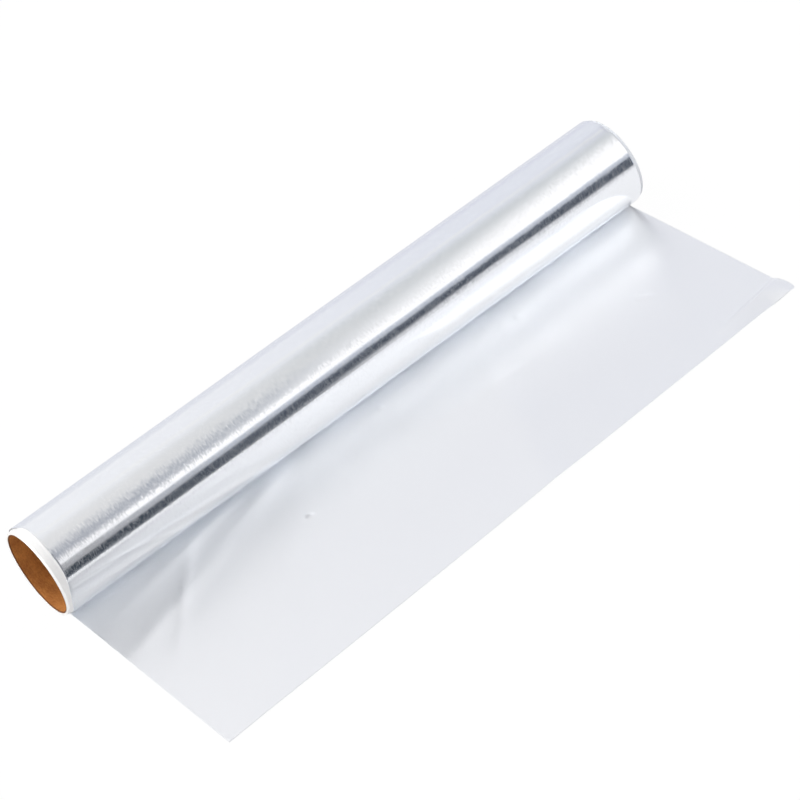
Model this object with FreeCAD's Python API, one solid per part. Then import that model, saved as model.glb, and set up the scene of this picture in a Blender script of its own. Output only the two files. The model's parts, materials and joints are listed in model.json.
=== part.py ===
import FreeCAD, Part
import math
import os

# Household aluminium foil on a paper tube, lying on its side with a short length drawn off.
# Sizes are millimetres. The origin lies on the surface below the tube's axis, half way along
# the foil. +X runs along the roll, +Z is up, and the loose sheet lies towards -Y.

# Paper tube
tube_bore_radius = 18.0
tube_wall = 1.5
tube_past_foil_left = 3.3
tube_past_foil_right = 1.8

# Wound foil. A drawn turn stands for about nine real ones of 0.011 mm.
foil_width = 300.0
foil_layer = 0.10
drawn_turns = 8
winding_clearance = 0.05
end_stagger = 2.5
flat_spot_width = 5.0

# Loose sheet, torn a little out of square
sheet_reach_left = 117.0
sheet_reach_right = 107.4

# Creased corner at the sheet's front right
crease_setback = 9.5
crease_slope_width = 2.5
crease_height = 0.9
crease_pull_in = 0.4
crease_run = 37.0
crease_fade_depth = 7.4
facet_run = 12.5
corner_side_spread = 1.6
corner_front_spread = 1.1
corner_blunt = 3.5

# Sizes that follow from those above
half_width = foil_width / 2
tube_outer_radius = tube_bore_radius + tube_wall
winding_bore_radius = tube_outer_radius + winding_clearance
roll_radius = winding_bore_radius + drawn_turns * foil_layer
axis_height = math.sqrt(roll_radius ** 2 - (flat_spot_width / 2) ** 2)
stagger_per_turn = end_stagger / drawn_turns
along_roll = FreeCAD.Vector(1, 0, 0)
up = FreeCAD.Vector(0, 0, 1)


def front_edge_y(x):
    """Where the slanting tear crosses the sheet at x."""
    slope = (sheet_reach_left - sheet_reach_right) / foil_width
    return -sheet_reach_right - slope * (half_width - x)


def paper_tube():
    start = FreeCAD.Vector(-half_width - tube_past_foil_left, 0, axis_height)
    length = foil_width + tube_past_foil_left + tube_past_foil_right
    outside = Part.makeCylinder(tube_outer_radius, length, start, along_roll)
    bore = Part.makeCylinder(tube_bore_radius, length, start, along_roll)
    return outside.cut(bore)


def spiral_outline(turns_off):
    """The roll's outline across its axis once this many drawn turns are off it.

    Two arcs make each turn. The front one has its centre half a layer higher and its radius half
    a layer less, so the turn comes round to the bottom one layer inside where it set out.
    """
    back_radius = roll_radius - turns_off * foil_layer
    front_radius = back_radius - foil_layer / 2
    front_centre = axis_height + foil_layer / 2
    foot = FreeCAD.Vector(0, 0, axis_height - back_radius)
    crown = FreeCAD.Vector(0, 0, axis_height + back_radius)
    turn_end = FreeCAD.Vector(0, 0, front_centre - front_radius)
    back = Part.Arc(foot, FreeCAD.Vector(0, back_radius, axis_height), crown)
    front = Part.Arc(crown, FreeCAD.Vector(0, -front_radius, front_centre), turn_end)
    step = Part.LineSegment(turn_end, foot)
    return Part.Face(Part.Wire([back.toShape(), front.toShape(), step.toShape()]))


def wound_turn(turn):
    """One drawn turn, full foil width, pushed along the roll by its share of the stagger."""
    section = spiral_outline(turn).cut(spiral_outline(turn + 1))
    section.translate(along_roll * (-half_width - turn * stagger_per_turn))
    return section.extrude(along_roll * foil_width)


def winding():
    """All turns as one body, bored for the tube and pressed flat where it lies."""
    turns = [wound_turn(turn) for turn in range(drawn_turns)]
    body = turns[0].fuse(turns[1:])
    length = foil_width + 2 * end_stagger
    start = FreeCAD.Vector(-length / 2, 0, axis_height)
    body = body.cut(Part.makeCylinder(winding_bore_radius, length, start, along_roll))
    corner = FreeCAD.Vector(-length / 2, -roll_radius, -roll_radius)
    below_surface = Part.makeBox(length, 2 * roll_radius, roll_radius, corner)
    return body.cut(below_surface)


def foil_patch(points):
    """A flat patch of the sheet through these points, one layer thick."""
    return Part.Face(Part.makePolygon(points + points[:1])).extrude(up * foil_layer)


def loose_sheet():
    """The drawn-off length, flat but for a low ridge left by a fold across its corner."""
    ridge_end = FreeCAD.Vector(half_width - crease_pull_in, crease_setback - sheet_reach_right,
                               crease_height)
    slope_end = FreeCAD.Vector(half_width, ridge_end.y + crease_slope_width, 0)
    fade_x = half_width - crease_run
    fade = FreeCAD.Vector(fade_x, front_edge_y(fade_x) + crease_fade_depth, 0)
    facet_x = half_width - facet_run
    facet_end = FreeCAD.Vector(facet_x, front_edge_y(facet_x), 0)
    tip = FreeCAD.Vector(half_width + corner_side_spread / 2,
                         -sheet_reach_right - corner_front_spread, 0)
    side_end = FreeCAD.Vector(half_width + corner_side_spread, corner_blunt - sheet_reach_right, 0)
    blunt_end = FreeCAD.Vector(half_width + corner_side_spread, -sheet_reach_right, 0)
    flat = [FreeCAD.Vector(-half_width, 0, 0), FreeCAD.Vector(half_width, 0, 0), slope_end, fade,
            facet_end, FreeCAD.Vector(-half_width, -sheet_reach_left, 0)]
    patches = [foil_patch(flat),
               foil_patch([slope_end, ridge_end, fade]),
               foil_patch([ridge_end, facet_end, fade]),
               foil_patch([ridge_end, tip, facet_end]),
               foil_patch([ridge_end, side_end, tip]),
               foil_patch([side_end, blunt_end, tip])]
    return patches[0].fuse(patches[1:])


def foil():
    """Winding and sheet are one strip, which leaves the roll at its foot."""
    return winding().fuse(loose_sheet()).removeSplitter()


os.makedirs("parts", exist_ok=True)
pieces = {"core_tube": paper_tube(), "foil": foil()}
for name, shape in pieces.items():
    shape.exportStep("parts/" + name + ".step")
    print(name, "valid", shape.isValid(), "solids", len(shape.Solids), "faces", len(shape.Faces),
          "volume", round(shape.Volume, 1))
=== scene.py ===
import json
import math

import bpy
import numpy as np
from mathutils import Matrix, Vector


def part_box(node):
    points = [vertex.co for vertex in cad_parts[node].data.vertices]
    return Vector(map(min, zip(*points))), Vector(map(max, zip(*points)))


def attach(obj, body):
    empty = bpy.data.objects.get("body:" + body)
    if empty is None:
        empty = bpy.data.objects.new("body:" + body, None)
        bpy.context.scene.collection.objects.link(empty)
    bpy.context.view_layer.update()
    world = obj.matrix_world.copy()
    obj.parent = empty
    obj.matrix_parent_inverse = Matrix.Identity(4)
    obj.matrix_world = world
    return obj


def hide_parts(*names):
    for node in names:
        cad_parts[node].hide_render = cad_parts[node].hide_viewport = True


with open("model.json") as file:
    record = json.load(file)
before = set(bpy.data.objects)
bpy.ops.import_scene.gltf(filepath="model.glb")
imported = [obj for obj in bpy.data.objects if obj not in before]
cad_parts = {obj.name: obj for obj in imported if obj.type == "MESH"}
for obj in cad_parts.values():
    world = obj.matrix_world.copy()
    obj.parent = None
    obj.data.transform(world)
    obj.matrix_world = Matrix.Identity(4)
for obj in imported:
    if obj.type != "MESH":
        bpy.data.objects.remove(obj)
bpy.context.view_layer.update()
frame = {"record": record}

# Sizes in metres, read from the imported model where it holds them
MM = 0.001
tube_low, tube_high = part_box("core_tube")
bore_mount = next(m for m in frame["record"]["mounts"] if m["name"] == "tube_bore")
AXIS_HEIGHT = bore_mount["pos_m"][2]
TUBE_BORE_RADIUS = bore_mount["dims"]["r_mm"] * MM
TUBE_WALL = 1.5 * MM
WINDING_CLEARANCE = 0.05 * MM
WINDING_BUILD_UP = 0.8 * MM
TUBE_OUTER_RADIUS = TUBE_BORE_RADIUS + TUBE_WALL
WINDING_BORE_RADIUS = TUBE_OUTER_RADIUS + WINDING_CLEARANCE
ROLL_RADIUS = WINDING_BORE_RADIUS + WINDING_BUILD_UP

HALF_WIDTH = 150.0 * MM
END_STAGGER = 2.5 * MM
LAYER_STEP = 0.10 * MM
FOIL_THICKNESS = 0.03 * MM
DRAWN_EDGES = 64
RIBBON_DEPTH = 1.6 * MM
RIBBON_THICKNESS = 0.008 * MM
REACH_LEFT = 117.0 * MM
REACH_RIGHT = 107.4 * MM
MEAN_REACH_MM = 112.0
FLAT_HALF = math.sqrt(ROLL_RADIUS ** 2 - AXIS_HEIGHT ** 2)


# Helpers

def smoothstep(low, high, value):
    """Eased share of the way from low to high; high may be the smaller."""
    t = np.clip((value - low) / (high - low), 0.0, 1.0)
    return t * t * (3.0 - 2.0 * t)


def mesh_object(name, vertices, faces, materials, face_slots=None, uv=None):
    """A mesh piece at the origin, smooth shaded, with its materials and an optional UV per vertex."""
    mesh = bpy.data.meshes.new(name)
    mesh.from_pydata([tuple(v) for v in vertices], [], [tuple(f) for f in faces])
    for material in materials:
        mesh.materials.append(material)
    if face_slots is not None:
        mesh.polygons.foreach_set("material_index", face_slots)
    mesh.polygons.foreach_set("use_smooth", [True] * len(mesh.polygons))
    if uv is not None:
        layer = mesh.uv_layers.new(name="UVMap")
        corner_vertex = np.empty(len(mesh.loops), dtype=np.int32)
        mesh.loops.foreach_get("vertex_index", corner_vertex)
        layer.data.foreach_set("uv", np.asarray(uv)[corner_vertex].ravel())
    mesh.update()
    piece = bpy.data.objects.new(name, mesh)
    bpy.context.scene.collection.objects.link(piece)
    return piece


def plain_mesh(piece):
    """The piece with its modifiers turned into mesh."""
    bpy.context.view_layer.update()
    evaluated = piece.evaluated_get(bpy.context.evaluated_depsgraph_get())
    mesh = bpy.data.meshes.new_from_object(evaluated)
    mesh.name = piece.name
    piece.modifiers.clear()
    piece.data = mesh
    return piece


def grid_faces(rows, columns):
    """Quads of a grid whose vertices are stored row by row."""
    start = (np.arange(rows - 1)[:, None] * columns + np.arange(columns - 1)[None, :]).ravel()
    return np.stack([start, start + 1, start + columns + 1, start + columns], axis=1)


class Nodes:
    """Short way to write a node tree."""

    def __init__(self, tree):
        self.tree = tree
        self.links = tree.links

    def add(self, kind, inputs=None, **settings):
        node = self.tree.nodes.new(kind)
        for key, value in settings.items():
            setattr(node, key, value)
        for key, value in (inputs or {}).items():
            socket = node.inputs[key]
            if isinstance(value, bpy.types.NodeSocket):
                self.links.new(value, socket)
            else:
                socket.default_value = value
        return node

    def math(self, operation, a, b=0.0, clamp=False):
        return self.add("ShaderNodeMath", {0: a, 1: b}, operation=operation, use_clamp=clamp).outputs[0]

    def remap(self, value, low, high, to_low=0.0, to_high=1.0, smooth=True):
        kind = "SMOOTHSTEP" if smooth else "LINEAR"
        sockets = {"Value": value, "From Min": low, "From Max": high, "To Min": to_low,
                   "To Max": to_high}
        return self.add("ShaderNodeMapRange", sockets, interpolation_type=kind).outputs["Result"]

    def mix(self, factor, a, b, blend="MIX"):
        node = self.add("ShaderNodeMix", {0: factor}, data_type="RGBA", blend_type=blend)
        for index, value in ((6, a), (7, b)):
            if isinstance(value, bpy.types.NodeSocket):
                self.links.new(value, node.inputs[index])
            else:
                node.inputs[index].default_value = (*value, 1.0)
        return node.outputs[2]


def material_nodes(name):
    """A new node material, with its nodes and its shader."""
    material = bpy.data.materials.new(name)
    material.use_nodes = True
    shader = material.node_tree.nodes["Principled BSDF"]
    return material, Nodes(material.node_tree), shader


# Materials

def strip_grain(n, fine_size, fine_tilt, slow_tilt, mottle_band_tilt=0.0):
    """Fine rolling grain as a shading normal that tips only along the strip, and the grain's own tone.

    The grain tips further in a band on the upper front of the roll, where the bright side also paints a stronger
    tone contrast: painted reflection mottle.
    """
    uv = n.add("ShaderNodeUVMap", uv_map="UVMap").outputs["UV"]
    fine_map = n.add("ShaderNodeMapping", {"Vector": uv, "Scale": (1.0 / fine_size, 0.22 / fine_size, 1.0)})
    fine = n.add("ShaderNodeTexNoise", {"Vector": fine_map.outputs[0], "Scale": 1.0, "Detail": 2.0}).outputs["Fac"]
    slow_map = n.add("ShaderNodeMapping", {"Vector": uv, "Scale": (22.0, 30.0, 1.0)})
    slow = n.add("ShaderNodeTexNoise", {"Vector": slow_map.outputs[0], "Scale": 1.0, "Detail": 1.0}).outputs["Fac"]
    place = n.add("ShaderNodeSeparateXYZ", {0: n.add("ShaderNodeTexCoord").outputs["Object"]}).outputs
    round_roll = n.math("ARCTAN2", n.math("SUBTRACT", place["Z"], AXIS_HEIGHT), place["Y"])
    mottle_band = n.math("MULTIPLY", n.remap(round_roll, math.radians(104.0), math.radians(122.0)),
                    n.remap(round_roll, math.radians(146.0), math.radians(139.0)))
    tilt = n.math("ADD", fine_tilt, n.math("MULTIPLY", mottle_band, mottle_band_tilt))
    fine_part = n.math("MULTIPLY", n.math("SUBTRACT", fine, 0.5), tilt)
    slow_part = n.math("MULTIPLY", n.math("SUBTRACT", slow, 0.5), slow_tilt)
    surface = n.add("ShaderNodeNewGeometry").outputs["Normal"]
    along = n.add("ShaderNodeVectorMath", {0: surface, 1: (1.0, 0.0, 0.0)}, operation="CROSS_PRODUCT").outputs[0]
    lean = n.add("ShaderNodeVectorMath", {0: along, "Scale": n.math("ADD", fine_part, slow_part)},
                 operation="SCALE").outputs[0]
    tipped = n.add("ShaderNodeVectorMath", {0: surface, 1: lean}, operation="ADD").outputs[0]
    normal = n.add("ShaderNodeVectorMath", {0: tipped}, operation="NORMALIZE").outputs[0]
    return uv, fine, mottle_band, normal


def foil_bright():
    """The bright rolled side, with fine grain along the strip, and painted reflection mottle in a band on its upper
    front.
    """
    material, n, shader = material_nodes("foil_bright_side")
    uv, fine, mottle_band, normal = strip_grain(n, 0.5 * MM, 0.057, 0.03, 0.30)
    # painted reflection mottle: in the band on the upper front the grain's tone runs from darker to pure white
    dull = n.mix(mottle_band, (0.915, 0.935, 0.96), (0.82, 0.84, 0.865))
    clear = n.mix(mottle_band, (0.945, 0.96, 0.98), (1.0, 1.0, 1.0))
    colour = n.mix(fine, dull, clear)
    n.links.new(colour, shader.inputs["Base Color"])
    broad_map = n.add("ShaderNodeMapping", {"Vector": uv, "Scale": (70.0, 25.0, 1.0)})
    broad = n.add("ShaderNodeTexNoise", {"Vector": broad_map.outputs[0], "Scale": 1.0, "Detail": 2.0})
    rim_dark_or_rough_drift = n.remap(broad.outputs["Fac"], 0.3, 0.7, -0.015, 0.015)
    n.links.new(n.remap(fine, 0.42, 0.62, 1.0, 0.955), shader.inputs["Metallic"])
    rough = n.math("ADD", n.remap(fine, 0.36, 0.64, 0.08, 0.185), rim_dark_or_rough_drift)
    n.links.new(rough, shader.inputs["Roughness"])
    n.links.new(normal, shader.inputs["Normal"])
    return material


def foil_satin():
    """The matt side, which lies uppermost on the loose sheet."""
    material, n, shader = material_nodes("foil_satin_side")
    shader.inputs["Metallic"].default_value = 0.97
    shader.inputs["Specular IOR Level"].default_value = 0.2
    uv, fine, mottle_band, normal = strip_grain(n, 0.5 * MM, 0.10, 0.05)
    cloud_map = n.add("ShaderNodeMapping", {"Vector": uv, "Scale": (38.0, 22.0, 1.0)})
    cloud = n.add("ShaderNodeTexNoise", {"Vector": cloud_map.outputs[0], "Scale": 1.0, "Detail": 3.0})
    colour = n.mix(cloud.outputs["Fac"], (0.96, 0.9685, 0.979), (0.98, 0.987, 0.994))
    n.links.new(colour, shader.inputs["Base Color"])
    rough = n.remap(cloud.outputs["Fac"], 0.3, 0.7, 0.31, 0.36)
    n.links.new(rough, shader.inputs["Roughness"])
    n.links.new(normal, shader.inputs["Normal"])
    return material


def foil_edges():
    """The cut edges of the turns, which scatter the light."""
    material, n, shader = material_nodes("foil_cut_edges")
    shader.inputs["Metallic"].default_value = 0.4
    place = n.add("ShaderNodeTexCoord").outputs["Object"]
    speck = n.add("ShaderNodeTexNoise", {"Vector": place, "Scale": 900.0, "Detail": 2.0})
    colour = n.mix(speck.outputs["Fac"], (0.915, 0.91, 0.90), (0.975, 0.97, 0.96))
    n.links.new(colour, shader.inputs["Base Color"])
    rough = n.remap(speck.outputs["Fac"], 0.3, 0.7, 0.38, 0.55)
    n.links.new(rough, shader.inputs["Roughness"])
    return material


def paper(name, pale, dark, fibre_scale, contrast, roughness):
    """Paper with short fibres lying mostly round the tube, and a soft cloudy tone."""
    material, n, shader = material_nodes(name)
    place = n.add("ShaderNodeTexCoord").outputs["Object"]
    fibre_map = n.add("ShaderNodeMapping", {"Vector": place, "Scale": (fibre_scale * 2.5, fibre_scale, fibre_scale)})
    fibre = n.add("ShaderNodeTexNoise", {"Vector": fibre_map.outputs[0], "Scale": 1.0, "Detail": 5.0,
                                         "Roughness": 0.65})
    cloud = n.add("ShaderNodeTexNoise", {"Vector": place, "Scale": 130.0, "Detail": 3.0})
    fleck = n.remap(fibre.outputs["Fac"], 0.5 - contrast, 0.5 + contrast)
    blotch = n.remap(cloud.outputs["Fac"], 0.35, 0.65)
    tone = n.math("ADD", n.math("MULTIPLY", fleck, 0.5), n.math("MULTIPLY", blotch, 0.5))
    colour = n.mix(tone, dark, pale)
    n.links.new(colour, shader.inputs["Base Color"])
    shader.inputs["Roughness"].default_value = roughness
    shader.inputs["Specular IOR Level"].default_value = 0.2
    bump = n.add("ShaderNodeBump", {"Height": fibre.outputs["Fac"], "Strength": 0.4, "Distance": 0.00005})
    n.links.new(bump.outputs[0], shader.inputs["Normal"])
    return material, n, shader, place, colour


def white_paper_material():
    """White paper round the tube, with painted shade greying it towards the far end."""
    material, n, shader, place, colour = paper("white_tube_paper", (0.948, 0.944, 0.94), (0.895, 0.892, 0.89),
                                               700.0, 0.25, 0.6)
    along = n.add("ShaderNodeSeparateXYZ", {0: place}).outputs["X"]
    # painted shade: the paper is greyed over the last few millimetres at the far end, standing in for the shade on
    # that rim
    painted_far_end_shade = n.remap(along, 140.0 * MM, 148.0 * MM)
    colour = n.mix(n.math("MULTIPLY", painted_far_end_shade, 0.8), colour, (0.58, 0.61, 0.66))
    n.links.new(colour, shader.inputs["Base Color"])
    return material


def kraft_paper_material():
    """Brown paper of the bore: darker in the first half millimetre inside the near end, with a few bark specks."""
    material, n, shader, place, colour = paper("kraft_bore_paper", (0.58, 0.238, 0.06), (0.33, 0.118, 0.029),
                                               900.0, 0.16, 0.75)
    along = n.add("ShaderNodeSeparateXYZ", {0: place}).outputs["X"]
    from_left = n.math("SUBTRACT", along, tube_low.x)
    # darker in the first half millimetre inside the near end of the bore
    rim_dark_or_rough_drift = n.remap(from_left, 0.5 * MM, 0.3 * MM)
    colour = n.mix(n.math("MULTIPLY", rim_dark_or_rough_drift, 0.85), colour, (0.13, 0.045, 0.014))
    cells = n.add("ShaderNodeTexVoronoi", {"Vector": place, "Scale": 130.0, "Randomness": 1.0})
    chosen = n.math("GREATER_THAN", n.add("ShaderNodeSeparateColor", {0: cells.outputs["Color"]}).outputs[0], 0.6)
    speck = n.math("MULTIPLY", n.remap(cells.outputs["Distance"], 0.055, 0.03), chosen)
    colour = n.mix(n.math("MULTIPLY", speck, 0.7), colour, (0.10, 0.05, 0.02))
    n.links.new(colour, shader.inputs["Base Color"])
    return material


# The foil strip

def front_reach(x):
    """How far the slanting tear lies in front of the roll's foot."""
    share = (x + HALF_WIDTH) / (2.0 * HALF_WIDTH)
    return REACH_LEFT + (REACH_RIGHT - REACH_LEFT) * share


def ridge(x, y, start, end, width, height):
    """A soft crease along the line from start to end (mm), fading at its ends."""
    start, end = np.array(start) * MM, np.array(end) * MM
    along = end - start
    length = np.hypot(*along)
    unit = along / length
    t = ((x - start[0]) * unit[0] + (y - start[1]) * unit[1]) / length
    across = -(x - start[0]) * unit[1] + (y - start[1]) * unit[0]
    fade = smoothstep(-0.15, 0.15, t) * (1.0 - smoothstep(0.85, 1.15, t))
    return height * MM * fade * np.exp(-(across / (width * MM)) ** 2)


def dent(x, y, centre, radius, height):
    """A small round bump about the centre (mm)."""
    distance = np.hypot(x - centre[0] * MM, y - centre[1] * MM)
    return height * MM * np.exp(-(distance / (radius * MM)) ** 2)


def soft_fold(x, y, start, end, width, height):
    """A line where the sheet changes slope: a low tent whose sides run out over the given width."""
    start, end = np.array(start) * MM, np.array(end) * MM
    along = (end - start) / np.hypot(*(end - start))
    across = -(x - start[0]) * along[1] + (y - start[1]) * along[0]
    rounded = np.sqrt(across ** 2 + (1.0 * MM) ** 2)
    return height * MM * np.exp(-rounded / (width * MM))


def sheet_relief(x, y):
    """Height of the loose sheet's underside over the surface it lies on."""
    waves = 0.5 + 0.5 * np.sin(x / (31.0 * MM) + 1.3 * np.sin(y / (40.0 * MM)) + 0.6)
    waves = waves + 0.5 + 0.5 * np.sin(y / (17.0 * MM) + x / (85.0 * MM) + 2.0)
    z = 0.08 * MM * waves
    z = z + soft_fold(x, y, (50.9, -15.9), (18.0, -105.2), 22.0, 0.7) * smoothstep(16.0 * MM, 50.0 * MM, -y)
    z = z + soft_fold(x, y, (-30.0, -10.0), (-128.0, -112.0), 16.0, 0.20)
    z = z + ridge(x, y, (-48.0, -14.0), (-146.0, -48.0), 5.0, 0.40)
    z = z + ridge(x, y, (-70.0, -10.0), (-150.0, -28.0), 3.5, 0.30)
    z = z + ridge(x, y, (-96.0, -16.0), (-138.0, -66.0), 2.5, 0.16)
    z = z + ridge(x, y, (8.0, -44.0), (62.0, -50.0), 3.0, 0.12)
    z = z + dent(x, y, (-55.9, -44.9), 1.2, 0.28)
    z = z + dent(x, y, (1.6, -17.6), 1.5, 0.22)
    z = z + dent(x, y, (72.6, -22.4), 1.4, 0.18)
    z = z + ridge(x, y, (109.0, -57.0), (115.0, -62.0), 0.9, 0.20)
    near_roll = smoothstep(3.0 * MM, 14.0 * MM, -y)
    return z * near_roll


def corner_relief(x, y):
    """The handled far front corner: a bent strip along the front edge and a small facet by the corner."""
    back_from_edge = y + front_reach(x)
    share = np.clip((x - (HALF_WIDTH - 37.0 * MM)) / (37.0 * MM), 0.0, 1.0)
    crest = (7.4 + 2.1 * share) * MM
    slope_end = crest + (0.3 + 2.2 * share) * MM
    crest_height = 1.6 * MM * share ** 0.8 * (1.0 - 0.28 * smoothstep(141.0 * MM, 149.0 * MM, x))
    by_corner = np.minimum(np.clip((x - 139.0 * MM) / (7.0 * MM), 0.0, 1.0),
                           np.clip((151.6 * MM - x) / (5.0 * MM), 0.0, 1.0))
    edge_height = 0.95 * MM * by_corner
    front_side = np.clip(back_from_edge / crest, 0.0, 1.0)
    back_side = np.clip((slope_end - back_from_edge) / (slope_end - crest), 0.0, 1.0)
    strip = edge_height + (crest_height - edge_height) * front_side
    return np.where(back_from_edge < crest, strip, crest_height * back_side)


def stepped(*parts):
    """Rising values: each part gives its start and how many even steps lead to the next part."""
    runs = [np.linspace(start, end, count, endpoint=False)
            for (start, count), (end, _) in zip(parts[:-1], parts[1:])]
    return np.concatenate(runs + [[parts[-1][0]]])


def strip_rows():
    """Places down the strip: the loose length's share from tear to foot, then angles round the roll."""
    loose = stepped((0.0, 24), (14.0, 27), (63.0, 9), (71.0, 9), (86.0, 12), (97.0, 8), (110.8, 1),
                    (MEAN_REACH_MM, 0))
    first = math.asin(FLAT_HALF / ROLL_RADIUS)
    round_roll = stepped((first, 34), (2.2, 30), (3.0, 76), (2.0 * math.pi + 0.05, 0))
    return loose / MEAN_REACH_MM, round_roll


def foil_strip(bright, satin):
    """Loose sheet and outermost turn as one thin strip, which leaves the roll at its foot."""
    x = stepped((-150.0, 5), (-149.2, 27), (-110.0, 24), (-58.3, 6), (-53.5, 22), (-0.8, 6), (4.0, 27), (70.2, 6),
                (75.0, 12), (104.0, 52), (149.2, 5), (150.0, 0)) * MM
    loose, turn = strip_rows()
    columns = len(x)

    # loose sheet, from the tear back to the end of the flat spot
    share = loose[:, None]
    sheet_x = np.repeat(x[None, :], len(loose), axis=0)
    foot = FLAT_HALF - 0.3 * MM
    sheet_y = -front_reach(sheet_x) * (1.0 - share) + foot * share
    sheet_z = sheet_relief(sheet_x, sheet_y) + corner_relief(sheet_x, sheet_y)
    corner = smoothstep(-94.0 * MM, -104.0 * MM, sheet_y) * smoothstep(132.0 * MM, 150.0 * MM, sheet_x)
    pull = np.exp(-((sheet_y + 97.8 * MM) / (1.6 * MM)) ** 2) * smoothstep(146.0 * MM, 150.0 * MM, sheet_x)
    placed_x = sheet_x + 1.3 * MM * corner - 0.4 * MM * pull
    placed_y = sheet_y - 1.0 * MM * corner * smoothstep(-100.0 * MM, -107.0 * MM, sheet_y)
    # the tip of the corner is rounded
    tip = 2.6 * MM
    from_side = tip - (HALF_WIDTH - sheet_x)
    from_front = tip - (sheet_y + front_reach(sheet_x))
    in_tip = (from_side > 0.0) & (from_front > 0.0)
    across = np.maximum(np.hypot(from_side, from_front), 1e-9)
    squeeze = np.where(in_tip, np.maximum(from_side, from_front) / across - 1.0, 0.0)
    placed_x = placed_x + from_side * squeeze
    placed_y = placed_y - from_front * squeeze
    sheet = np.stack([placed_x, placed_y, sheet_z], axis=-1)

    # outermost turn: two arcs, the front one a half layer smaller and a half layer higher
    angle = np.repeat(turn[:, None], columns, axis=1)
    on_front = angle > math.pi
    radius = np.where(on_front, ROLL_RADIUS - LAYER_STEP / 2.0, ROLL_RADIUS)
    centre = np.where(on_front, AXIS_HEIGHT + LAYER_STEP / 2.0, AXIS_HEIGHT)
    turn_x = np.repeat(x[None, :], len(turn), axis=0)
    slack = 0.012 * MM * (1.0 + np.sin(turn_x / (23.0 * MM) + 2.0 * np.sin(angle * 1.5)))
    edge = np.clip(1.0 - (HALF_WIDTH - np.abs(turn_x)) / (0.8 * MM), 0.0, 1.0) ** 2
    radius = radius - slack - 0.06 * MM * edge
    # the left edge wanders a little round the roll
    degrees = np.degrees(angle)
    wander = -1.5 * smoothstep(20.0, 100.0, degrees) + 2.4 * smoothstep(148.0, 178.0, degrees)
    wander = wander - 2.2 * smoothstep(238.0, 292.0, degrees) + 0.3 * smoothstep(310.0, 350.0, degrees)
    turn_x = turn_x + wander * MM * smoothstep(-128.0 * MM, -HALF_WIDTH, turn_x)
    turn_y = radius * np.sin(angle)
    turn_z = np.maximum(centre - radius * np.cos(angle), 2.0 * FOIL_THICKNESS)
    first_rise = smoothstep(0.0, 0.5, turn[:, None] - turn[0])
    turn_z = turn_z * first_rise + (centre - radius * np.cos(angle)) * (1.0 - first_rise)
    turn_z = np.maximum(turn_z, 0.0)
    wound = np.stack([turn_x, turn_y, turn_z], axis=-1)

    points = np.concatenate([sheet, wound])
    rows = len(points)
    steps = np.linalg.norm(np.diff(points[:, columns // 2], axis=0), axis=1)
    length = np.concatenate([[0.0], np.cumsum(steps)])
    uv = np.stack([np.repeat(x[None, :], rows, axis=0), np.repeat(length[:, None], columns, axis=1)], axis=-1)
    faces = grid_faces(rows, columns)[:, ::-1]
    piece = mesh_object("foil_strip", points.reshape(-1, 3), faces, [bright, satin], uv=uv.reshape(-1, 2))
    thick = piece.modifiers.new("thickness", "SOLIDIFY")
    thick.thickness = FOIL_THICKNESS
    thick.offset = -1.0
    thick.material_offset = 1
    thick.material_offset_rim = 1
    return plain_mesh(piece)


# The staggered turn ends

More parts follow.
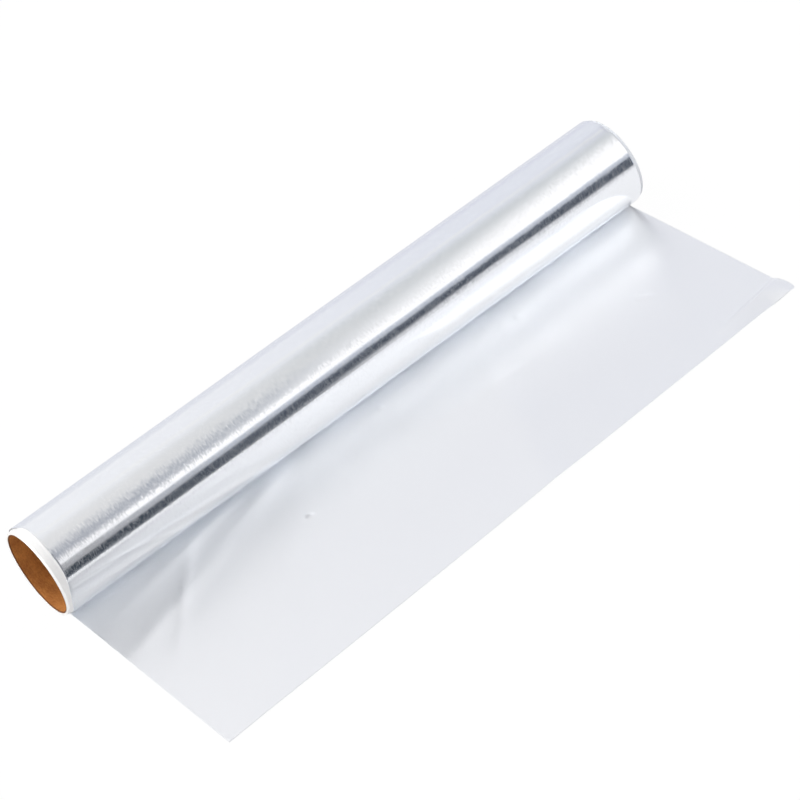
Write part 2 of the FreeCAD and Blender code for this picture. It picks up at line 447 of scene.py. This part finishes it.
def turn_ends_tree(material):
    """Geometry nodes for the edges of the turns: a thin ribbon on a conical spiral."""
    tree = bpy.data.node_groups.new("staggered_turn_ends", "GeometryNodeTree")
    tree.interface.new_socket("Geometry", in_out="OUTPUT", socket_type="NodeSocketGeometry")
    inputs = (("Turns", "NodeSocketFloat"), ("Inner Radius", "NodeSocketFloat"), ("Outer Radius", "NodeSocketFloat"),
              ("Stagger", "NodeSocketFloat"), ("Ribbon Depth", "NodeSocketFloat"), ("Layer", "NodeSocketFloat"),
              ("Start Along Roll", "NodeSocketFloat"), ("Axis Height", "NodeSocketFloat"),
              ("Flattened Radius", "NodeSocketFloat"))
    for name, kind in inputs:
        tree.interface.new_socket(name, in_out="INPUT", socket_type=kind)
    n = Nodes(tree)
    given = n.add("NodeGroupInput").outputs
    spiral = n.add("GeometryNodeCurveSpiral", {
        "Resolution": 72, "Rotations": given["Turns"], "Start Radius": given["Inner Radius"],
        "End Radius": given["Outer Radius"], "Height": given["Stagger"], "Reverse": True})
    upright = n.add("GeometryNodeSetCurveNormal", {"Curve": spiral.outputs[0]}, mode="Z_UP")
    profile = n.add("GeometryNodeCurvePrimitiveQuadrilateral",
                    {"Width": given["Layer"], "Height": given["Ribbon Depth"]}, mode="RECTANGLE")
    ribbon = n.add("GeometryNodeCurveToMesh", {"Curve": upright.outputs[0], "Profile Curve": profile.outputs[0],
                                                "Fill Caps": True})
    shift = n.add("ShaderNodeCombineXYZ", {"X": given["Start Along Roll"], "Z": given["Axis Height"]})
    laid = n.add("GeometryNodeTransform", {"Geometry": ribbon.outputs[0], "Translation": shift.outputs[0],
                                            "Rotation": (0.0, math.pi / 2.0, 0.0)})
    # squeeze the foot so that the outermost turn lies flat and the innermost stays round
    place = n.add("ShaderNodeSeparateXYZ", {0: n.add("GeometryNodeInputPosition").outputs[0]}).outputs
    drop = n.math("SUBTRACT", given["Axis Height"], place["Z"])
    across = n.math("MULTIPLY", place["Y"], place["Y"])
    radius = n.math("SQRT", n.math("ADD", across, n.math("MULTIPLY", drop, drop)))
    outer = n.math("MULTIPLY", given["Flattened Radius"], given["Flattened Radius"])
    round_drop = n.math("SQRT", n.math("MAXIMUM", n.math("SUBTRACT", outer, across), 0.0))
    lift = n.math("MAXIMUM", n.math("SUBTRACT", round_drop, given["Axis Height"]), 0.0)
    weight = n.remap(radius, given["Inner Radius"], given["Outer Radius"], smooth=False)
    below = n.math("GREATER_THAN", drop, 0.0)
    rise = n.math("MULTIPLY", n.math("MULTIPLY", lift, weight), below)
    offset = n.add("ShaderNodeCombineXYZ", {"Z": rise})
    pressed = n.add("GeometryNodeSetPosition", {"Geometry": laid.outputs[0], "Offset": offset.outputs[0]})
    real = n.add("GeometryNodeRealizeInstances", {0: pressed.outputs[0]})
    painted = n.add("GeometryNodeSetMaterial", {"Geometry": real.outputs[0], "Material": material})
    out = n.add("NodeGroupOutput")
    n.links.new(painted.outputs[0], out.inputs[0])
    return tree


def turn_ends(name, tree, ribbon_middle):
    """One end's turn edges as plain mesh, the ribbon's middle at this place along the roll."""
    mesh = bpy.data.meshes.new(name)
    piece = bpy.data.objects.new(name, mesh)
    bpy.context.scene.collection.objects.link(piece)
    modifier = piece.modifiers.new("turns", "NODES")
    modifier.node_group = tree
    values = {"Turns": float(DRAWN_EDGES), "Inner Radius": WINDING_BORE_RADIUS + 0.01 * MM,
              "Outer Radius": ROLL_RADIUS - 0.18 * MM, "Stagger": END_STAGGER, "Ribbon Depth": RIBBON_DEPTH,
              "Layer": RIBBON_THICKNESS, "Start Along Roll": ribbon_middle, "Axis Height": AXIS_HEIGHT,
              "Flattened Radius": ROLL_RADIUS - 0.12 * MM}
    for item in tree.interface.items_tree:
        if item.in_out == "INPUT":
            modifier[item.identifier] = values[item.name]
    return plain_mesh(piece)


# The paper tube

def paper_tube(outside, kraft, cut_board):
    """Spiral-wound tube with softly worn rims and its plies showing on the cut ends."""
    around = 144
    left, right = tube_low.x, tube_high.x
    rim = 0.22 * MM
    plies, rows_per_ply = 5, 3
    groove = 0.04 * MM
    outside_slot, kraft_slot, board_slot = 0, 1, 2
    profile = []
    slots = []

    def put(x, radius, slot):
        profile.append((x, radius))
        slots.append(slot)

    for x in np.linspace(left + rim, right - rim, 60):
        put(x, TUBE_OUTER_RADIUS, outside_slot)
    for turn in np.linspace(0.2, 1.0, 4) * math.pi / 2.0:
        put(right - rim + rim * math.sin(turn), TUBE_OUTER_RADIUS - rim + rim * math.cos(turn), outside_slot)
    cut_faces = np.linspace(TUBE_OUTER_RADIUS - rim, TUBE_BORE_RADIUS + rim, rows_per_ply * plies + 1)[1:-1]
    kraft_starts = len(cut_faces) - rows_per_ply
    for index, radius in enumerate(cut_faces):
        sunk = groove if index % rows_per_ply == 2 else 0.0
        put(right - sunk, radius, kraft_slot if index >= kraft_starts else board_slot)
    for turn in np.linspace(0.0, 0.8, 4) * math.pi / 2.0:
        put(right - rim + rim * math.cos(turn), TUBE_BORE_RADIUS + rim - rim * math.sin(turn), kraft_slot)
    for x in np.linspace(right - rim, left + rim, 110):
        put(x, TUBE_BORE_RADIUS, kraft_slot)
    for turn in np.linspace(0.2, 1.0, 4) * math.pi / 2.0:
        put(left + rim - rim * math.sin(turn), TUBE_BORE_RADIUS + rim - rim * math.cos(turn), kraft_slot)
    for index, radius in enumerate(cut_faces[::-1]):
        sunk = groove if index % rows_per_ply == 2 else 0.0
        put(left + sunk, radius, kraft_slot if index < rows_per_ply else board_slot)
    for turn in np.linspace(0.0, 0.8, 4) * math.pi / 2.0:
        put(left + rim - rim * math.cos(turn), TUBE_OUTER_RADIUS - rim + rim * math.sin(turn), outside_slot)

    profile = np.array(profile)
    angle = np.arange(around) * 2.0 * math.pi / around
    points = np.empty((len(profile), around, 3))
    points[:, :, 0] = profile[:, :1]
    points[:, :, 1] = profile[:, 1:] * np.cos(angle)
    points[:, :, 2] = AXIS_HEIGHT + profile[:, 1:] * np.sin(angle)
    row = np.arange(len(profile))
    start = row[:, None] * around + np.arange(around)[None, :]
    beside = row[:, None] * around + (np.arange(around)[None, :] + 1) % around
    after = ((row + 1) % len(profile))[:, None] * around
    faces = np.stack([start, beside, after + (np.arange(around)[None, :] + 1) % around,
                      after + np.arange(around)[None, :]], axis=-1)
    face_slots = np.repeat(np.array(slots), around)
    return mesh_object("paper_tube", points.reshape(-1, 3), faces.reshape(-1, 4), [outside, kraft, cut_board],
                       face_slots=face_slots)


# Studio

def studio_world():
    """Plain light on everything, and for reflections a pale room with a bright window and a dark side.

    height is the angle over the front horizon about the roll's axis in degrees, so that 90 is overhead and
    180 is behind. side grows towards the roll's far end.
    """
    world = bpy.data.worlds.new("studio")
    bpy.context.scene.world = world
    world.use_nodes = True
    world.cycles.sampling_method = "NONE"
    n = Nodes(world.node_tree)
    n.tree.nodes.clear()
    direction = n.add("ShaderNodeTexCoord").outputs["Generated"]
    way = n.add("ShaderNodeSeparateXYZ", {0: direction}).outputs
    forward = n.math("MULTIPLY", way["Y"], -1.0)
    raw_height = n.math("MULTIPLY", n.math("ARCTAN2", way["Z"], forward), 180.0 / math.pi)
    under_back = n.math("LESS_THAN", raw_height, -90.0)
    height = n.math("ADD", raw_height, n.math("MULTIPLY", under_back, 360.0))
    level = n.math("SQRT", n.math("ADD", n.math("MULTIPLY", way["Y"], way["Y"]),
                                   n.math("MULTIPLY", way["Z"], way["Z"])))
    side = n.math("DIVIDE", way["X"], n.math("MAXIMUM", level, 0.001))

    # room and ceiling
    rightward = n.remap(side, 0.26, 0.46)
    room = n.mix(rightward, (0.95, 0.962, 0.988), (0.82, 0.845, 0.91))
    behind = n.mix(rightward, (0.83, 0.85, 0.90), (0.76, 0.78, 0.87))
    far_corner = n.math("MULTIPLY", n.math("MULTIPLY", n.remap(side, 0.495, 0.535), n.remap(side, 0.66, 0.58)),
                        n.remap(height, 138.0, 116.0))
    room = n.mix(far_corner, room, (0.45, 0.46, 0.55))
    colour = n.mix(n.remap(height, 158.0, 174.0), room, behind)
    ceiling = n.mix(n.remap(side, 0.26, 0.42), (0.84, 0.847, 0.855), (0.672, 0.705, 0.73))
    light = n.add("ShaderNodeLightPath").outputs
    again = n.math("GREATER_THAN", light["Ray Depth"], 2.5)
    ceiling = n.mix(n.math("MULTIPLY", again, n.remap(side, 0.25, 0.33)), ceiling, (0.99, 1.0, 1.01))
    colour = n.mix(n.remap(height, 116.0, 90.0), colour, ceiling)
    seam = n.math("MULTIPLY", n.remap(height, 119.0, 116.0), n.remap(height, 110.0, 113.5))
    colour = n.mix(n.math("MULTIPLY", seam, 0.4), colour, (0.95, 0.94, 0.88))

    # a grey panel on the left under the ceiling
    on_left = n.remap(side, 0.375, 0.328)
    panel = n.mix(n.remap(side, 0.25, 0.33), (0.43, 0.455, 0.515), (0.47, 0.505, 0.565))
    colour = n.mix(n.math("MULTIPLY", n.remap(height, 80.0, 46.0), on_left), colour, panel)

    # the window: its soft upper edge climbs to the right, its heart is brighter than white
    glow_start = n.remap(on_left, 0.0, 1.0, n.remap(side, 0.385, 0.50, 74.0, 94.0, smooth=False), 43.5)
    glow_full = n.remap(on_left, 0.0, 1.0, n.remap(side, 0.385, 0.50, 34.0, 64.0, smooth=False), 34.5)
    glow_ease = n.remap(on_left, 0.0, 1.0, n.remap(side, 0.385, 0.46, 1.3, 1.0), 1.0)
    pane = n.mix(n.remap(side, 0.235, 0.285), (0.94, 0.94, 0.96), (1.22, 1.22, 1.23))
    glow = n.math("POWER", n.remap(height, glow_start, glow_full, smooth=False), glow_ease)
    colour = n.mix(glow, colour, pane)
    heart_top = n.math("SUBTRACT", glow_full, 3.0)
    heart = n.math("MULTIPLY", n.remap(height, heart_top, n.math("SUBTRACT", heart_top, 4.0)),
                   n.remap(side, 0.295, 0.39))
    colour = n.mix(n.math("MULTIPLY", heart, again), colour, (2.4, 2.4, 2.4))

    # under the window a grey sill, then the dark low side of the room, then pale card
    sill = n.mix(n.remap(side, 0.25, 0.32), (0.42, 0.42, 0.43), (0.54, 0.58, 0.66))
    window_foot = n.math("ADD", n.remap(side, 0.355, 0.384, 25.6, 28.0), n.remap(side, 0.39, 0.50, 0.0, 1.8))
    colour = n.mix(n.remap(n.math("SUBTRACT", height, window_foot), 1.6, -2.4), colour, sill)
    dark_top = n.math("ADD", n.remap(side, 0.22, 0.385, 9.6, 17.6, smooth=False),
                      n.remap(side, 0.40, 0.50, 0.0, 2.6))
    dark = n.mix(n.remap(side, 0.24, 0.32), (0.04, 0.05, 0.064), (0.085, 0.098, 0.125))
    low_side = n.math("MULTIPLY", n.remap(n.math("SUBTRACT", height, dark_top), 2.0, -2.0),
                      n.math("MULTIPLY", n.remap(side, 0.02, 0.14), n.remap(side, 0.72, 0.56)))
    opened = n.math("MULTIPLY", again, n.remap(side, 0.26, 0.33, 0.0, 0.85))
    low_side = n.math("MULTIPLY", low_side, n.math("SUBTRACT", 1.0, opened))
    colour = n.mix(low_side, colour, dark)
    dark_foot = n.math("SUBTRACT", n.remap(side, 0.34, 0.435, -7.5, 3.2), n.remap(side, 0.44, 0.50, 0.0, 5.6))
    colour = n.mix(n.remap(n.math("SUBTRACT", height, dark_foot), 1.2, -1.2), colour, (0.80, 0.81, 0.84))

    # a white card low in front, which only the lower half of the roll picks up from the sheet
    low_card = n.math("MULTIPLY", n.math("MULTIPLY", n.remap(side, 0.26, 0.32), n.remap(side, 0.46, 0.42)),
                      n.math("MULTIPLY", n.remap(height, -12.0, -4.0), n.remap(height, 44.0, 34.0)))
    colour = n.mix(n.math("MULTIPLY", low_card, again), colour, (1.28, 1.29, 1.31))

    # a grey post beside the window's near end, which the curled edges of the foil pick up
    post = n.math("MULTIPLY", n.math("MULTIPLY", n.remap(side, -0.05, 0.02), n.remap(side, 0.21, 0.18)),
                  n.math("MULTIPLY", n.remap(height, -2.0, 2.0), n.remap(height, 60.0, 50.0)))
    colour = n.mix(post, colour, (0.26, 0.27, 0.29))

    colour = n.mix(1.0, colour, (0.952, 0.941, 0.938), blend="MULTIPLY")
    # light that has met the foil more than once
    gain = n.math("SUBTRACT", n.remap(side, 0.235, 0.29, 0.73, 1.06, smooth=False),
                  n.remap(side, 0.37, 0.42, 0.0, 0.09))
    each_time = n.math("ADD", n.remap(side, 0.235, 0.28, 0.88, 1.15), n.remap(side, 0.31, 0.37, 0.0, 0.30))
    each_time = n.math("SUBTRACT", each_time, n.remap(side, 0.39, 0.425, 0.0, 0.38))
    from_sides = n.math("ADD", n.remap(side, 0.56, 0.66, 1.0, 1.12), n.remap(side, 0.17, 0.07, 0.0, 0.12))
    gain = n.math("MULTIPLY", gain, from_sides)
    gain = n.math("MULTIPLY", gain, n.math("POWER", each_time, n.math("SUBTRACT", light["Ray Depth"], 3.0)))
    gain = n.remap(again, 0.0, 1.0, 1.0, gain, smooth=False)

    reflected = n.add("ShaderNodeBackground", {"Color": colour, "Strength": gain}).outputs[0]
    # the plain light: strongest from above the near end, with a weaker part from the right and one in front
    def soft_lamp(towards, edge, heart, low, high):
        """Strength of a wide lamp, by the cosine of the angle to its middle."""
        facing = n.add("ShaderNodeVectorMath", {0: direction, 1: tuple(Vector(towards).normalized())},
                       operation="DOT_PRODUCT").outputs["Value"]
        return n.remap(facing, edge, heart, low, high)

    falling = soft_lamp((-0.49, 0.52, 0.69), 0.80, 0.97, 0.37, 5.2)
    falling = n.math("ADD", falling, soft_lamp((0.80, -0.30, 0.50), 0.60, 0.95, 0.0, 0.9))
    falling = n.math("ADD", falling, soft_lamp((-0.10, -0.985, 0.14), 0.75, 0.97, 0.0, 2.2))
    even = n.add("ShaderNodeBackground", {"Color": (1.0, 1.0, 1.0, 1.0), "Strength": falling}).outputs[0]
    white = n.add("ShaderNodeBackground", {"Color": (1.0, 1.0, 1.0, 1.0), "Strength": 1.0}).outputs[0]
    lit = n.add("ShaderNodeMixShader", {0: light["Is Diffuse Ray"], 1: reflected, 2: even}).outputs[0]
    out = n.add("ShaderNodeMixShader", {0: light["Is Camera Ray"], 1: lit, 2: white}).outputs[0]
    n.links.new(out, n.add("ShaderNodeOutputWorld").inputs["Surface"])


def floor():
    """A plain card under the roll, larger than the view: it glows white in the view, and glows with painted
    reflection tones in the foil.
    """
    material, n, shader = material_nodes("white_card")
    material.cycles.emission_sampling = "NONE"
    light = n.add("ShaderNodeLightPath").outputs
    shade = n.mix(light["Is Camera Ray"], (0.42, 0.42, 0.43), (1.0, 1.0, 1.0))
    n.links.new(shade, shader.inputs["Base Color"])
    shader.inputs["Roughness"].default_value = 0.9
    shader.inputs["Specular IOR Level"].default_value = 0.0
    # in the foil the card glows with painted reflections: dark on the left far in front, white close before the
    # tear, grey behind the roll
    place = n.add("ShaderNodeSeparateXYZ", {0: n.add("ShaderNodeTexCoord").outputs["Object"]}).outputs
    again = n.math("GREATER_THAN", light["Ray Depth"], 1.5)
    leftward = n.remap(n.math("ADD", place["X"], n.math("MULTIPLY", again, 0.10)), 0.14, 0.04)
    tone = n.mix(leftward, (0.76, 0.765, 0.79), (0.08, 0.095, 0.12))
    tone = n.mix(n.remap(place["Y"], -0.205, -0.185), tone, (0.97, 0.97, 0.99))
    close_behind = n.math("MULTIPLY", n.remap(place["X"], 0.01, -0.04), n.remap(place["Y"], 0.13, 0.09))
    far_tone = n.mix(close_behind, (0.79, 0.80, 0.86), (0.90, 0.905, 0.93))
    tone = n.mix(n.remap(place["Y"], 0.0, 0.05), tone, far_tone)
    tone = n.mix(light["Is Camera Ray"], tone, (1.0, 1.0, 1.0))
    glow = n.add("ShaderNodeEmission", {"Color": tone, "Strength": 1.0}).outputs[0]
    seen = n.math("ADD", n.math("MULTIPLY", light["Is Camera Ray"], 0.985),
                  n.math("MULTIPLY", light["Is Glossy Ray"], 0.9))
    mixed = n.add("ShaderNodeMixShader", {0: seen, 1: shader.outputs[0], 2: glow}).outputs[0]
    n.links.new(mixed, material.node_tree.nodes["Material Output"].inputs["Surface"])
    left, right, front, back = -1.4, 2.2, -0.36, 1.8
    sunk = -0.02 * MM
    corners = [(left, front, sunk), (right, front, sunk), (right, back, sunk), (left, back, sunk)]
    card = mesh_object("floor", corners, [(0, 1, 2, 3)], [material])


def camera():
    """The photograph's view: azimuth, elevation and roll of the camera in degrees, distance in metres."""
    azimuth, elevation, tilt = math.radians(-26.731), math.radians(38.531), math.radians(-18.909)
    distance = 1.22505
    aim = Vector((9.742 * MM, -20.859 * MM, 0.0))
    sensor_width = 36.0
    focal_length_px = 3017.2
    frame_px = 800.0
    back = Vector((math.sin(azimuth) * math.cos(elevation), -math.cos(azimuth) * math.cos(elevation),
                   math.sin(elevation)))
    level_right = Vector((math.cos(azimuth), math.sin(azimuth), 0.0))
    level_up = back.cross(level_right).normalized()
    right = math.cos(tilt) * level_right + math.sin(tilt) * level_up
    up = -math.sin(tilt) * level_right + math.cos(tilt) * level_up
    data = bpy.data.cameras.new("camera")
    data.sensor_width = sensor_width
    data.lens = sensor_width * focal_length_px / frame_px
    data.clip_start = 0.01
    view = bpy.data.objects.new("camera", data)
    turn = Matrix((right, up, back)).transposed().to_4x4()
    view.matrix_world = Matrix.Translation(aim + back * distance) @ turn
    bpy.context.scene.collection.objects.link(view)
    bpy.context.scene.camera = view


camera()
studio_world()
floor()

white_paper = white_paper_material()
kraft_paper = kraft_paper_material()
board_edge = paper("cut_board_edge", (0.97, 0.955, 0.93), (0.90, 0.86, 0.81), 1500.0, 0.2, 0.85)[0]
tube = paper_tube(white_paper, kraft_paper, board_edge)
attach(tube, "root")
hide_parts("core_tube")

bright_side = foil_bright()
satin_side = foil_satin()
edges = foil_edges()
strip = foil_strip(bright_side, satin_side)
ends_tree = turn_ends_tree(edges)
left_ends = turn_ends("turn_ends_left", ends_tree, -HALF_WIDTH - END_STAGGER + RIBBON_DEPTH / 2.0)
right_ends = turn_ends("turn_ends_right", ends_tree, HALF_WIDTH - END_STAGGER - RIBBON_DEPTH / 2.0)
for piece in (strip, left_ends, right_ends):
    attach(piece, "root")
    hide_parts("foil")

bpy.context.scene.view_settings.view_transform = "Standard"
bpy.context.scene.cycles.glossy_bounces = 12
